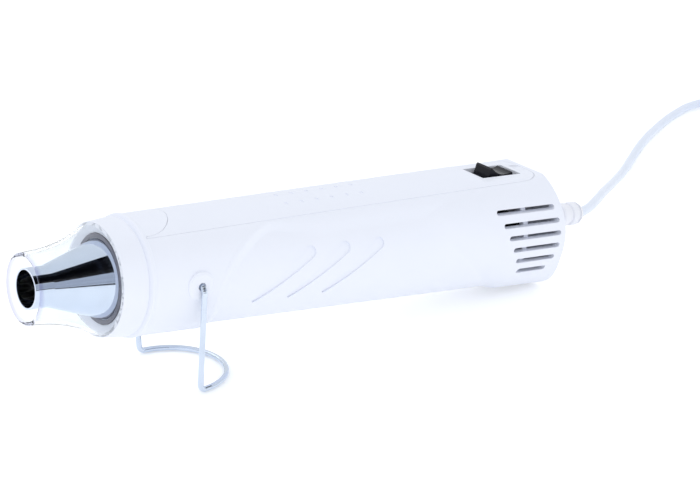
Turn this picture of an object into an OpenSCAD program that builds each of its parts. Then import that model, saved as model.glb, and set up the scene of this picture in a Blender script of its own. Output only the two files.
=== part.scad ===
// Hand-held embossing heat tool, resting nose up on its folding wire stand.
// Row frame: +X from the nozzle to the tail, +Z up, the table at Z = 0.
// Tool frame: X along the tool's own axis from the guard's front rim, Z up, Y across.

/* [Housing] */
// Outer diameter of the housing right behind the front collar
front_d = 50; // [46:0.5:54]
// Outer diameter of the housing at its tail
tail_d = 57.6; // [54:0.2:62]
// Length of the housing along the axis, from the collar to the middle of the tail face
housing_l = 210; // [200:0.2:230]
// Wall of the housing shells
wall = 3.2; // [3:0.1:3.4]
// Reach of the heel at the foot of the tail face
tail_heel = 6; // [2:0.5:8]
// Lean of the top of the tail face towards the nozzle
tail_brow = 3.5; // [1:0.5:4]
// Clearance between pieces that fit into each other
fit_gap = 0.12; // [0.05:0.01:0.2]

/* [Grip] */
// Depth of the recessed grip below the skin
grip_depth = 1.6; // [1:0.1:1.8]
// Distance from the collar to the front edge of the grip
grip_start = 29; // [26:0.5:34]
// Distance from the tail face to the rear edge of the grip, on the axis
grip_end = 36; // [34:0.5:40]
// Number of leaf-shaped grooves on each side
leaf_count = 3; // [1:1:4]
// Spacing of the leaf grooves along the axis
leaf_pitch = 17.3; // [12:0.1:19]
// Depth of the leaf grooves below the grip
leaf_depth = 0.7; // [0.4:0.1:0.9]

/* [Front] */
// Length of the front collar without its spigot
collar_l = 14.1; // [12:0.1:18]
// Height of the bead above the housing
bead_h = 0.4; // [0.2:0.1:1]
// Length of the clear guard
guard_l = 31.9; // [30:0.1:38]
// Outer radius of the guard's front rim
guard_rim_r = 14.5; // [13:0.1:16]
// Wall of the clear guard
guard_wall = 1.6; // [1.2:0.1:2]
// Bore radius of the nozzle's mouth
mouth_r = 7.6; // [6:0.1:8.5]
// Wall of the steel nozzle
nozzle_wall = 0.8; // [0.5:0.1:1.2]
// Radius of the nozzle's cone at its base
cone_r = 16.3; // [15:0.1:17]
// Distance of the nozzle's mouth behind the guard's rim
mouth_back = 1.2; // [0.5:0.1:6]
// Length of the straight neck of the nozzle
neck_l = 8.3; // [4:0.1:10]
// Radius of the heat shield ring
ring_r = 18.4; // [17.6:0.1:18.8]

/* [Top strip] */
// Width of the strip along the top
strip_w = 30; // [26:0.5:32]
// Spacing of the grip dots along the strip
dot_pitch = 7.7; // [6:0.1:9]
// Number of grip dots in each row
dot_count = 6; // [1:1:7]
// Depth of the switch recess below the tail's highest line
recess_deep = 3.6; // [3:0.1:4.2]
// Length of the switch opening
opening_l = 21.7; // [20:0.1:24]
// Width of the switch opening
opening_w = 14.5; // [13.5:0.1:16]

/* [Switch] */
// Length of the rocker
rocker_l = 13.2; // [11:0.1:15]
// Width of the rocker
rocker_w = 10.4; // [8:0.1:11]
// Tilt of the rocker from the middle to either of its two positions
rocker_tilt = 13; // [8:0.5:15]

/* [Vents] */
// Number of slots on each side
vent_count = 6; // [3:1:6]
// Spacing of the slots
vent_pitch = 5.6; // [5:0.1:5.8]
// Height of a slot
vent_h = 2.2; // [1.6:0.1:2.6]

/* [Stand] */
// Diameter of the wire
wire_d = 2.4; // [2:0.1:3]
// Distance from the collar to the stand's hinge axis
hinge_back = 20.2; // [17:0.1:22]
// Height of the hinge axis over the table, to the middle of the foot wire
stand_h = 45.9; // [43:0.1:50]
// Radius of the round foot
foot_r = 24.2; // [23:0.1:25.5]

/* [Lead] */
// Diameter of the mains lead
cord_d = 4.4; // [4:0.1:5]
// Number of turns in the stored coil
coil_turns = 7.25; // [5.25:1:8.25]
// Inner radius of the stored coil
coil_in_r = 16; // [16:0.5:20]
// Gap between neighbouring turns
coil_gap = 0.5; // [0.45:0.05:1]

/* [Hidden] */
$fn = 96;

white_abs = [0.93, 0.93, 0.97];
eps = 0.01;
big = 200;

// Stations along the tool's axis
collar_x = guard_l;
bead_x = collar_x + collar_l;
tail_x = bead_x + housing_l;
taper = (tail_d - front_d) / 2 / housing_l;
function body_r(x) = front_d / 2 + taper * (x - bead_x);
function inner_r(x) = body_r(x) - wall;

// Grip recess, seen from the side
grip_x0 = bead_x + grip_start;
grip_x1 = tail_x - grip_end;
grip_curve_l = 35;
grip_curve_h = 31;
grip_low_z = -9.5;
grip_slope = 0.55;
leaf_x = grip_x0 + 19.5;
leaf_l = 35.2;
leaf_tip_r = 0.9;
leaf_head_r = 2.6;
leaf_angle = 35;
leaf_low_z = -10;

// Vents, seen from the side
vent_x = tail_x - 37.6;
vent_lean = 2.9;
vent_right = tail_x - 2.6;
vent_z = 0.3;

// Collar, guard and nozzle
spigot_l = 7;
spigot_wall = 1.9;
spigot_r = inner_r(bead_x) - fit_gap;
collar_front_r = front_d / 2 - 1.7;
bead_w = 2.4;
groove_w = 0.8;
groove_d = 0.6;
guard_base_r = collar_front_r - 0.15;
ring_t = 1.5;
ring_x = collar_x + 2.9;
ring_hole_r = 14;
cone_end_x = ring_x;
nozzle_lip = 0.9;
tongue_l = 16;
tongue_w = strip_w - 2;

// Heater and duct
duct_x = ring_x + ring_t;
duct_r = 17.9;
duct_wall = 1;
duct_l = 60;
fan_case_l = 24;
fan_case_x = duct_x + duct_l;
ledge_t = 1.4;
fan_case_r = inner_r(fan_case_x) - ledge_t - fit_gap;
duct_cone_l = 7;
sleeve_l = 46;
sleeve_r = 13.4;
sleeve_wall = 0.7;
core_t = 0.8;
coil_r = 10.6;
coil_loops = 14;
heater_wire_r = 0.5;

// Motor and fan
motor_r = 13.8;
motor_l = 34;
motor_x = fan_case_x + fan_case_l + 2;
shaft_r = 1.15;
shaft_gap = 0.05;
fan_x = fan_case_x + 9;
fan_hub_r = 6;
fan_hub_l = 10;
fan_blades = 7;
fan_tip_gap = 0.8;
boss_r = 5;
boss_l = 3;
mount_l = 5;
mount_arms = 3;

// Board
board_x = motor_x + motor_l + 9;
board_l = 26;
board_w = 26;
board_t = 1.6;
board_z = -9;

// Top strip and switch
panel_x1 = tail_x - 5.2;
panel_gap = 0.15;
panel_t = wall - panel_gap;
ledge_w = 3.4;
ledge_root = 2;
seam_gap = 0.15;
opening_x = tail_x - 22.3;
recess_z = tail_d / 2 - recess_deep;
recess_l = 28;
recess_run = 5;
recess_rise = 1.2;
recess_wall = 2.2;
switch_floor_z = recess_z - 2.7;
switch_clear = 0.15;
switch_depth = 13;
flange_w = 1.4;
flange_t = 1.5;
rocker_pivot_z = recess_z - 4.8;
rocker_top = 6.9;
rocker_valley = 4.9;
rocker_bottom = -2.6;
rocker_gap = 0.5;
trunnion_r = 1;
trunnion_gap = 0.06;

// Screws and posts: distance before the tail face, height
post_r = 3;
posts = [[111.5, -18.2], [84.5, 17], [47.5, -18.6], [5.5, -16.6]];
screw_r = 1.3;
screw_head_r = 2.6;
screw_head_t = 2;
screw_seat_y = 6;
screw_l = 14;

// Cord entry
gland_out = 32.7;
gland_collar_t = 1.6;
gland_r = 5.4;
gland_end_r = 4.5;
gland_rings = 5;
gland_collar_r = 7.2;
gland_in = wall + brow(gland_collar_r) + 0.1;
clamp_back = 14;
clamp_l = 5;
clamp_w = 22;
clamp_t = 2.6;
clamp_screw_y = 7.6;
lead_r = 0.9;

// Stand
wire_r = wire_d / 2;
hinge_x = bead_x + hinge_back;
hinge_z = 1;
hinge_gap = 0.06;
boss_pad_r = 6;
boss_pad_out = 1;
bore_mouth_r = wire_r + 0.5;
bore_mouth_l = 1.2;
pin_in_y = inner_r(hinge_x) - 3;
leg_top_y = body_r(hinge_x) + boss_pad_out + wire_r + 0.6;

// Resting pose: the heel of the tail and the foot wire both stand on the table
rest_x = tail_x + tail_heel;
dx_rest = rest_x - hinge_x;
dz_rest = hinge_z + body_r(rest_x);
rest_span = sqrt(dx_rest * dx_rest + dz_rest * dz_rest);
tilt = asin((stand_h + wire_r) / rest_span) - atan2(dz_rest, dx_rest);
hinge_h = stand_h + wire_r;

// Box of the object in the resting pose, without the lead: guard rim in front, gland behind
front_edge = -hinge_x * cos(tilt) - (guard_rim_r + hinge_z) * sin(tilt);
gland_x1 = tail_x + gland_out;
rear_edge = (gland_x1 - hinge_x) * cos(tilt) + (gland_end_r - 0.6 - hinge_z) * sin(tilt);
centre_x = (front_edge + rear_edge) / 2;

// Carries a piece from the tool frame into the row frame
module placed() {
    translate([-centre_x, 0, hinge_h])
        rotate([0, tilt, 0])
            translate([-hinge_x, 0, -hinge_z])
                children();
}

// Solid of revolution about the tool's axis; points are [x, r]
module turned(points, fn = 128) {
    rotate([0, 90, 0])
        rotate_extrude($fn = fn)
            polygon([for (p = points) [p[1], p[0]]]);
}

// Cylinder along the tool's axis
module rod_x(x, length, r, fn = 64) {
    translate([x, 0, 0])
        rotate([0, 90, 0])
            cylinder(h = length, r = r, $fn = fn);
}

// Cylinder across the tool, between two heights of Y
module rod_y(x, z, y0, y1, r, fn = 40) {
    translate([x, y0, z])
        rotate([-90, 0, 0])
            cylinder(h = y1 - y0, r = r, $fn = fn);
}

// Straight wire from one point to another
module rod(a, b, r, fn = 24) {
    d = b - a;
    length = norm(d);
    translate(a)
        rotate([0, acos(d[2] / length), atan2(d[1], d[0])])
            cylinder(h = length, r = r, $fn = fn);
}

// Wire along a list of points, joined by slightly larger balls
module wire(points, r, fn = 24) {
    for (i = [0 : len(points) - 2])
        rod(points[i], points[i + 1], r, fn);
    for (i = [1 : len(points) - 2])
        translate(points[i])
            sphere(r = r + 0.05, $fn = fn);
}

// Layer of the housing between two depths below its skin
module layer(x0, x1, depth0, depth1) {
    turned([[x0, body_r(x0) - depth1], [x1, body_r(x1) - depth1],
        [x1, body_r(x1) - depth0], [x0, body_r(x0) - depth0]]);
}

// Side outline of everything in front of the tail face, moved in by a depth: its foot runs out
// into a heel and its top leans towards the nozzle
function heel(z) = tail_heel * pow(min(1, max(0, (-z - 9) / (body_r(tail_x) - 9))), 1.5);

function brow(z) = tail_brow * pow(max(0, z - 3) / 25, 1.4);

module before_tail(depth = 0) {
    x = tail_x - depth;
    low = [for (z = [-30 : 3 : -9]) [x + heel(z), z]];
    high = [for (z = [3 : 5 : 33]) [x - brow(z), z]];
    rotate([90, 0, 0])
        linear_extrude(2 * big, center = true)
            polygon(concat([[-big, -big], [x + tail_heel, -big]], low, high,
                [[x - brow(33), big], [-big, big]]));
}

// Outline of the grip recess from the side: a quarter ellipse in front, a leaning edge behind
module grip_outline() {
    top_z = grip_low_z + grip_curve_h;
    front = [for (a = [0 : 10 : 90])
        [grip_x0 + grip_curve_l * (1 - cos(a)), grip_low_z + grip_curve_h * sin(a)]];
    polygon(concat([[grip_x0, -40]], front, [[grip_x0 + grip_curve_l + 6, 40]],
        [[grip_x1 - grip_slope * 40, 40], [grip_x1 + grip_slope * 40, -40]]));
}

// Leaf: a narrow round tip widening to a round head
module leaf_outline() {
    spread = asin((leaf_head_r - leaf_tip_r) / (leaf_l - leaf_head_r - leaf_tip_r));
    d = leaf_l - leaf_head_r - leaf_tip_r;
    tip = [for (a = [90 + spread : 20 : 270 - spread]) [leaf_tip_r * cos(a), leaf_tip_r * sin(a)]];
    head = [for (a = [-90 - spread : 15 : 90 + spread])
        [d + leaf_head_r * cos(a), leaf_head_r * sin(a)]];
    polygon(concat(tip, head));
}

module leaves() {
    for (i = [0 : leaf_count - 1])
        translate([leaf_x + i * leaf_pitch, 0, leaf_low_z])
            rotate([90, 0, 0])
                rotate(leaf_angle)
                    linear_extrude(2 * big, center = true)
                        leaf_outline();
}

// One slot with round ends, right through both sides
module slot(x0, x1, z) {
    r = vent_h / 2;
    rod_y(x0 + r, z, -big, big, r, 24);
    rod_y(x1 - r, z, -big, big, r, 24);
    translate([x0 + r, -big, z - r])
        cube([x1 - x0 - vent_h, 2 * big, vent_h]);
}

module vents() {
    middle = (vent_count - 1) / 2;
    for (i = [0 : vent_count - 1])
        slot(vent_x + i * vent_lean, vent_right - 0.55 * (i - middle + 0.3) * (i - middle + 0.3),
            vent_z + (middle - i) * vent_pitch);
}

// Outline of the top strip from above, narrowed all round by a gap
module strip_outline(gap = 0) {
    w = strip_w / 2 - gap;
    round_r = 9;
    x1 = panel_x1 - gap;
    polygon(concat(
        [[bead_x + gap, -w]],
        [for (a = [-90 : 15 : 0]) [x1 - round_r + round_r * cos(a), -w + round_r + round_r * sin(a)]],
        [for (a = [0 : 15 : 90]) [x1 - round_r + round_r * cos(a), w - round_r + round_r * sin(a)]],
        [[bead_x + gap, w]]));
}

// Outline of the collar's tongue from above, widened all round by a gap
module tongue_outline(gap = 0) {
    polygon(concat([[bead_x - 1, -tongue_w / 2 - gap]],
        [for (a = [-90 : 15 : 90])
            [bead_x + 2 + (tongue_l - 2 + gap) * cos(a), (tongue_w / 2 + gap) * sin(a)]],
        [[bead_x - 1, tongue_w / 2 + gap]]));
}

module above(z = 0) {
    translate([-big, -big, z])
        cube([3 * big, 2 * big, big]);
}

// Whole housing before it is split down the middle
module housing() {
    difference() {
        union() {
            intersection() {
                layer(bead_x, tail_x + 8, 0, wall);
                before_tail();
            }
            // Tail wall
            intersection() {
                difference() {
                    before_tail();
                    before_tail(wall);
                }
                turned([[tail_x - 20, 0], [tail_x + 8, 0], [tail_x + 8, body_r(tail_x) - 1],
                    [tail_x - 20, body_r(tail_x) - 1]]);
            }
            // Ledges that carry the strip
            intersection() {
                layer(bead_x + spigot_l + 1, panel_x1 + ledge_w, wall - eps, wall + ledge_t);
                difference() {
                    linear_extrude(big)
                        strip_outline(-ledge_root);
                    linear_extrude(3 * big, center = true)
                        strip_outline(ledge_w);
                }
                above();
            }
            ribs();
            stand_bosses();
            screw_posts();
            clamp_seat();
        }
        intersection() {
            linear_extrude(big)
                strip_outline();
            layer(bead_x - 1, panel_x1 + 1, -5, wall);
        }
        recess_prism();
        // Grip recess with a chamfered edge
        intersection() {
            layer(grip_x0 - 1, grip_x1 + 30, -5, grip_depth);
            rotate([90, 0, 0])
                linear_extrude(2 * big, center = true)
                    grip_outline();
        }
        intersection() {
            layer(grip_x0, grip_x1, -5, grip_depth + leaf_depth);
            leaves();
        }
        intersection() {
            vents();
            union() {
                translate([0, -big, -big / 2])
                    cube([big * 2, big - body_r(tail_x) * 0.5, big]);
                translate([0, body_r(tail_x) * 0.5, -big / 2])
                    cube([big * 2, big, big]);
            }
        }
        stand_bores();
        screw_bores();
        rod_x(tail_x - 20, 40, gland_r + fit_gap);
        clamp_bores();
    }
}

// Half rings inside the housing that hold the duct, the fan case, the motor spider and the board
module ribs() {
    for (s = [[duct_x + 24, duct_r], [fan_case_x + duct_cone_l + 3, fan_case_r],
            [fan_case_x + fan_case_l - 5, fan_case_r]])
        difference() {
            layer(s[0], s[0] + 2, wall - eps, wall + 6);
            rod_x(s[0] - 1, 4, s[1] + fit_gap, 96);
            strip_room(s[0]);
        }
    for (x = [board_x + 3, board_x + board_l - 5])
        intersection() {
            layer(x, x + 2, wall - eps, wall + 20);
            translate([x - 1, -big, -big])
                cube([4, 2 * big, big + board_z]);
        }
    // Rails on either side of the motor spider
    for (x = [motor_x + 6 - 2 - fit_gap, motor_x + 6 + mount_l + fit_gap])
        difference() {
            layer(x, x + 2, wall - eps, wall + 2);
            strip_room(x);
        }
}

// Room under the strip, left free by the ribs
module strip_room(x) {
    translate([x - 1, -strip_w / 2 + ledge_w, 0])
        cube([5, strip_w - 2 * ledge_w, big]);
}

module stand_bosses() {
    for (side = [-1, 1])
        scale([1, side, 1])
            translate([hinge_x, 0, hinge_z])
                rotate([-90, 0, 0])
                    translate([0, 0, inner_r(hinge_x) - 0.5])
                        rotate_extrude($fn = 64)
                            polygon([[0, 0], [boss_pad_r, 0],
                                [boss_pad_r, wall + 0.5 + boss_pad_out * 0.2],
                                [boss_pad_r * 0.86, wall + 0.5 + boss_pad_out * 0.7],
                                [boss_pad_r * 0.6, wall + 0.5 + boss_pad_out], [0, wall + 0.5 + boss_pad_out]]);
}

module stand_bores() {
    mouth_y = body_r(hinge_x) + boss_pad_out - bore_mouth_l;
    rod_y(hinge_x, hinge_z, -big, -inner_r(hinge_x) + 6, wire_r + hinge_gap, 48);
    rod_y(hinge_x, hinge_z, inner_r(hinge_x) - 6, big, wire_r + hinge_gap, 48);
    // Wider mouths, where the wire starts to bend
    rod_y(hinge_x, hinge_z, -big, -mouth_y, bore_mouth_r, 48);
    rod_y(hinge_x, hinge_z, mouth_y, big, bore_mouth_r, 48);
}

// Posts for the screws, from wall to wall, cut at the middle by the split
module screw_posts() {
    for (p = posts) {
        x = tail_x - p[0];
        intersection() {
            rod_y(x, p[1], -big, big, post_r);
            turned([[bead_x, 0], [tail_x + 8, 0], [tail_x + 8, inner_r(tail_x + 8) + 0.5],
                [bead_x, inner_r(bead_x) + 0.5]]);
            before_tail(wall / 2);
        }
    }
}

// Holes for the screws, with their heads sunk into the right shell
module screw_bores() {
    for (p = posts) {
        x = tail_x - p[0];
        rod_y(x, p[1], screw_seat_y - screw_l, screw_seat_y + 1, screw_r + fit_gap / 2);
        rod_y(x, p[1], screw_seat_y, big, screw_head_r + 0.3);
    }
}

// Seat of the cord clamp inside the tail: two posts standing on the lower wall
module clamp_seat() {
    x = tail_x - clamp_back;
    for (y = [-clamp_screw_y, clamp_screw_y])
        intersection() {
            translate([x + clamp_l / 2, y, -big])
                cylinder(h = big - cord_d / 2 - fit_gap, r = 2.4, $fn = 32);
            turned([[bead_x, 0], [tail_x, 0], [tail_x, inner_r(tail_x) + 0.5], [bead_x, inner_r(bead_x) + 0.5]]);
        }
}

module clamp_bores() {
    x = tail_x - clamp_back;
    for (y = [-clamp_screw_y, clamp_screw_y])
        translate([x + clamp_l / 2, y, -cord_d / 2 - 7])
            cylinder(h = 7 + eps, r = 1.1, $fn = 32);
}

module left_shell() {
    color(white_abs)
        placed()
            difference() {
                housing();
                translate([-big, 0, -big])
                    cube([4 * big, big, 2 * big]);
            }
}

module right_shell() {
    color(white_abs)
        placed()
            difference() {
                housing();
                translate([-big, -big, -big])
                    cube([4 * big, big, 2 * big]);
            }
}

// Side outline of what is taken away over the switch recess: a sloping run down to a flat floor,
// and a long low run up to the tail
module recess_outline(up = 0) {
    x0 = opening_x - recess_l / 2;
    x1 = opening_x + recess_l / 2;
    polygon([[x0 - recess_run, recess_z + 4 + up], [x0, recess_z + up], [x1, recess_z + up],
        [tail_x + 1, recess_z + recess_rise + up], [tail_x + 1, recess_z + 30],
        [x0 - recess_run, recess_z + 30]]);
}

module recess_prism() {
    rotate([90, 0, 0])
        linear_extrude(strip_w + 10, center = true)
            recess_outline();
}

module top_panel() {
    color(white_abs)
        placed()
            difference() {
                intersection() {
                    linear_extrude(big)
                        strip_outline(seam_gap);
                    union() {
                        layer(bead_x, panel_x1 + 1, 0, panel_t);
                        // Floor of the switch recess
                        intersection() {
                            layer(opening_x - recess_l / 2 - recess_run, panel_x1, 0, 12);
                            linear_extrude(big)
                                strip_outline(ledge_w + fit_gap);
                            rotate([90, 0, 0])
                                linear_extrude(strip_w, center = true)
                                    difference() {
                                        recess_outline(-recess_wall);
                                        recess_outline();
                                    }
                        }
                    }
                }
                linear_extrude(big)
                    tongue_outline(seam_gap);
                recess_prism();
                // Switch opening
                translate([opening_x - opening_l / 2, -opening_w / 2, 0])
                    cube([opening_l, opening_w, big]);
                grip_dots();
            }
}

// Shallow round dimples, in three rows
module grip_dots() {
    dot_r = 0.9;
    row_y = 8;
    dot_x = bead_x + 71;
    for (row = [-1 : 1])
        for (i = [0 : dot_count - 1]) {
            x = dot_x + i * dot_pitch;
            a = asin(row * row_y / body_r(x));
            rotate([-a, 0, 0])
                translate([x, 0, body_r(x) - 0.25])
                    cylinder(h = 3, r = dot_r, $fn = 20);
        }
}

module front_collar() {
    r1 = front_d / 2;
    web_x = collar_x + 2.1;
    seat_r = ring_r + fit_gap;
    hole_r = duct_r + fit_gap;
    color(white_abs)
        placed()
            union() {
                turned([
                    [collar_x, guard_base_r - guard_wall - 0.1], [collar_x, collar_front_r],
                    [bead_x - bead_w - groove_w - 1, r1 - 0.6],
                    [bead_x - bead_w - groove_w, r1 - 0.6 - groove_d * 0.3],
                    [bead_x - bead_w - groove_w * 0.5, r1 - 0.6 - groove_d],
                    [bead_x - bead_w, r1 - 0.6],
                    [bead_x - bead_w * 0.8, r1 + bead_h * 0.5], [bead_x - bead_w * 0.5, r1 + bead_h],
                    [bead_x - bead_w * 0.2, r1 + bead_h * 0.6], [bead_x, r1],
                    [bead_x, spigot_r], [bead_x + spigot_l, spigot_r],
                    [bead_x + spigot_l, spigot_r - spigot_wall], [duct_x + 5, spigot_r - spigot_wall],
                    [duct_x + 3.5, hole_r], [duct_x + 0.02, hole_r], [duct_x + 0.02, seat_r],
                    [web_x, seat_r]]);
                // Tongue on the top, in line with the strip
                intersection() {
                    layer(bead_x - 0.5, bead_x + tongue_l, 0, wall);
                    linear_extrude(big)
                        tongue_outline();
                }
                // Lug that joins the tongue to the spigot
                intersection() {
                    layer(bead_x - 0.5, bead_x + spigot_l, wall - eps, wall + fit_gap + 0.4);
                    translate([0, -tongue_w / 2 + 4, 0])
                        cube([big, tongue_w - 8, big]);
                }
            }
}

// Radius of the guard's skin: nearly straight in front, flaring to its base
function guard_r(x) = guard_rim_r + 0.04 * x
    + (guard_base_r - guard_rim_r - 0.04 * guard_l) * pow(x / guard_l, 2.6);

module clear_guard() {
    steps = 16;
    lip = guard_wall / 2;
    outer = [for (i = [1 : steps]) let (x = lip + (guard_l - lip) * i / steps) [x, guard_r(x)]];
    inner = [for (i = [steps : -1 : 1]) let (x = lip + (guard_l - lip) * i / steps)
        [x, guard_r(x) - guard_wall]];
    front = [for (a = [0 : 30 : 180]) [lip - lip * sin(a), guard_rim_r - lip - lip * cos(a)]];
    color([0.85, 0.93, 0.95, 0.35])
        placed()
            turned(concat(front, outer, inner));
}

module nozzle() {
    x0 = mouth_back;
    x1 = mouth_back + neck_l;
    x2 = cone_end_x;
    r0 = mouth_r + nozzle_wall;
    color([0.8, 0.82, 0.85])
        placed()
            turned([[x0, mouth_r], [x0, r0], [x1, r0], [x2 - nozzle_wall, cone_r],
                [x2 - nozzle_wall, cone_r + nozzle_lip], [x2, cone_r + nozzle_lip],
                [x2, cone_r - nozzle_wall], [x2 - nozzle_wall, cone_r - nozzle_wall],
                [x1 + 0.3, mouth_r]]);
}

module heat_shield_ring() {
    color([0.42, 0.42, 0.47])
        placed()
            turned([[ring_x, ring_hole_r], [ring_x, ring_r], [ring_x + ring_t, ring_r],
                [ring_x + ring_t, ring_hole_r]]);
}

module air_duct() {
    x1 = fan_case_x;
    x2 = x1 + duct_cone_l;
    x3 = x1 + fan_case_l;
    color([0.35, 0.33, 0.3])
        placed()
            turned([[duct_x, duct_r - duct_wall], [duct_x, duct_r], [x1, duct_r], [x2, fan_case_r],
                [x3, fan_case_r], [x3, fan_case_r - duct_wall], [x2, fan_case_r - duct_wall],
                [x1, duct_r - duct_wall]]);
}

// Tube of mica with a flange at its front that sits inside the shield ring
module mica_sleeve() {
    x0 = ring_x + 0.2;
    color([0.78, 0.72, 0.6])
        placed()
            difference() {
                union() {
                    rod_x(x0, sleeve_l, sleeve_r, 64);
                    // Spacers that centre the tube in the duct
                    for (x = [duct_x + 2, duct_x + sleeve_l - 10])
                        for (a = [45 : 90 : 315])
                            rotate([a, 0, 0])
                                translate([x, -1, sleeve_r - 0.5])
                                    cube([5, 2, duct_r - duct_wall - fit_gap - sleeve_r + 0.4]);
                }
                rod_x(x0 - 1, sleeve_l + 2, sleeve_r - sleeve_wall, 64);
            }
}

// Two mica boards that cross on the axis
module heater_core() {
    x0 = ring_x + 2;
    h = 2 * (sleeve_r - sleeve_wall - fit_gap) - 0.3;
    color([0.8, 0.74, 0.6])
        placed()
            difference() {
                for (a = [0, 90])
                    rotate([a, 0, 0])
                        translate([x0, -core_t / 2, -h / 2])
                            cube([sleeve_l - 4, core_t, h]);
                // Notches that hold the winding
                for (i = [0 : coil_loops - 1])
                    for (q = [0 : 3]) {
                        x = x0 + 3 + (i + q / 4) * coil_step();
                        rotate([-90 * q, 0, 0])
                            translate([x - heater_wire_r - 0.15, -core_t, coil_r - heater_wire_r - 0.15])
                                cube([2 * heater_wire_r + 0.3, 2 * core_t, 5]);
                    }
            }
}

function coil_step() = (sleeve_l - 10) / coil_loops;

// Winding of resistance wire: a true helix
module heater_coil() {
    x0 = ring_x + 5;
    per_loop = 12;
    n = coil_loops * per_loop;
    route = [for (i = [0 : n]) let (a = 360 * i / per_loop)
        [x0 + coil_step() * i / per_loop, coil_r * sin(a), coil_r * cos(a)]];
    color([0.55, 0.5, 0.48])
        placed()
            tube(route, heater_wire_r, 4, [1, 0, 0]);
}

module thermal_cutout() {
    color([0.75, 0.75, 0.7])
        placed()
            translate([ring_x + sleeve_l + 0.65, 0, 0]) {
                rotate([0, 90, 0])
                    cylinder(h = 9, r = 2, $fn = 32);
                translate([-2.6, -4, -0.5])
                    cube([3, 8, 1]);
                translate([8.4, -3, -0.4])
                    cube([4, 6, 0.8]);
            }
}

module motor_can() {
    color([0.7, 0.72, 0.74])
        placed()
            difference() {
                union() {
                    rod_x(motor_x, motor_l - 5, motor_r);
                    rod_x(motor_x - boss_l, boss_l + 1, boss_r);
                }
                rod_x(motor_x - boss_l - 1, motor_l, shaft_r + shaft_gap, 40);
            }
}

module motor_cap() {
    color([0.2, 0.2, 0.22])
        placed()
            difference() {
                union() {
                    rod_x(motor_x + motor_l - 5, 5, motor_r);
                    for (y = [-8, 8])
                        translate([motor_x + motor_l - 1, y - 1.2, -0.3])
                            cube([7, 2.4, 0.6]);
                }
                rod_x(motor_x + motor_l - 6, 4, shaft_r + shaft_gap, 40);
            }
}

// Spider: a ring round the motor, arms, and an outer ring between the housing's rails
module motor_mount() {
    x = motor_x + 6;
    rim_r = inner_r(x) - fit_gap;
    color([0.85, 0.85, 0.88])
        placed()
            difference() {
                union() {
                    rod_x(x, mount_l, motor_r + 2);
                    difference() {
                        rod_x(x, mount_l, rim_r, 96);
                        rod_x(x - 1, mount_l + 2, rim_r - 1.6, 96);
                        // Open at the top, clear of the strip's ledges
                        translate([x - 1, -strip_w / 2 - ledge_root - fit_gap, motor_r - 1])
                            cube([mount_l + 2, strip_w + 2 * (ledge_root + fit_gap), big]);
                    }
                    for (i = [0 : mount_arms - 1])
                        rotate([i * 360 / mount_arms + 180, 0, 0])
                            translate([x, -2, motor_r])
                                cube([mount_l, 4, rim_r - motor_r - 0.5]);
                }
                rod_x(x - 1, mount_l + 2, motor_r + shaft_gap);
            }
}

module fan_wheel() {
    tip_r = fan_case_r - duct_wall - fan_tip_gap;
    color([0.25, 0.25, 0.27])
        placed()
            difference() {
                union() {
                    rod_x(fan_x, fan_hub_l, fan_hub_r);
                    intersection() {
                        for (i = [0 : fan_blades - 1])
                            rotate([i * 360 / fan_blades, 0, 0])
                                translate([fan_x + fan_hub_l / 2, 0, fan_hub_r - 1])
                                    rotate([0, 0, 38])
                                        translate([-6.5, -0.6, 0])
                                            cube([13, 1.2, tip_r]);
                        rod_x(fan_x, fan_hub_l, tip_r, 96);
                    }
                }
                rod_x(fan_x - 1, fan_hub_l + 2, shaft_r, 40);
            }
}

module motor_shaft() {
    color([0.75, 0.76, 0.78])
        placed()
            rod_x(fan_x + 0.5, motor_x + motor_l - 3 - fan_x - 0.5, shaft_r, 40);
}

module rectifier_board() {
    color([0.15, 0.4, 0.22])
        placed()
            translate([board_x, -board_w / 2, board_z])
                cube([board_l, board_w, board_t]);
}

module board_parts() {
    top = board_z + board_t;
    placed() {
        for (i = [0 : 3])
            color([0.12, 0.12, 0.12])
                translate([board_x + 5, -9 + 5 * i, top + 1.3])
                    rotate([0, 90, 0])
                        cylinder(h = 5, r = 1.3, $fn = 24);
        color([0.2, 0.25, 0.5])
            translate([board_x + 18, 2, top])
                cylinder(h = 12, r = 4, $fn = 32);
        color([0.6, 0.4, 0.2])
            translate([board_x + 15, -11, top])
                cube([7, 5, 8]);
    }
}

module switch_body() {
    l = opening_l - 2 * switch_clear;
    w = opening_w - 2 * switch_clear;
    bottom = switch_floor_z - switch_depth;
    flange_z = recess_z - recess_wall;
    color([0.3, 0.31, 0.34])
        placed()
            difference() {
                union() {
                    translate([opening_x - l / 2, -w / 2, bottom])
                        cube([l, w, switch_depth]);
                    translate([opening_x - l / 2 - flange_w, -w / 2 - flange_w, flange_z - flange_t])
                        cube([l + 2 * flange_w, w + 2 * flange_w, flange_t]);
                }
                // Well of the rocker
                translate([opening_x - rocker_l / 2 - 2.2, -rocker_w / 2 - rocker_gap, bottom + 4])
                    cube([rocker_l + 4.4, rocker_w + 2 * rocker_gap, switch_depth]);
                rod_y(opening_x, rocker_pivot_z, -rocker_w / 2 - rocker_gap - 1.1,
                    rocker_w / 2 + rocker_gap + 1.1, trunnion_r + trunnion_gap, 40);
            }
}

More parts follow.
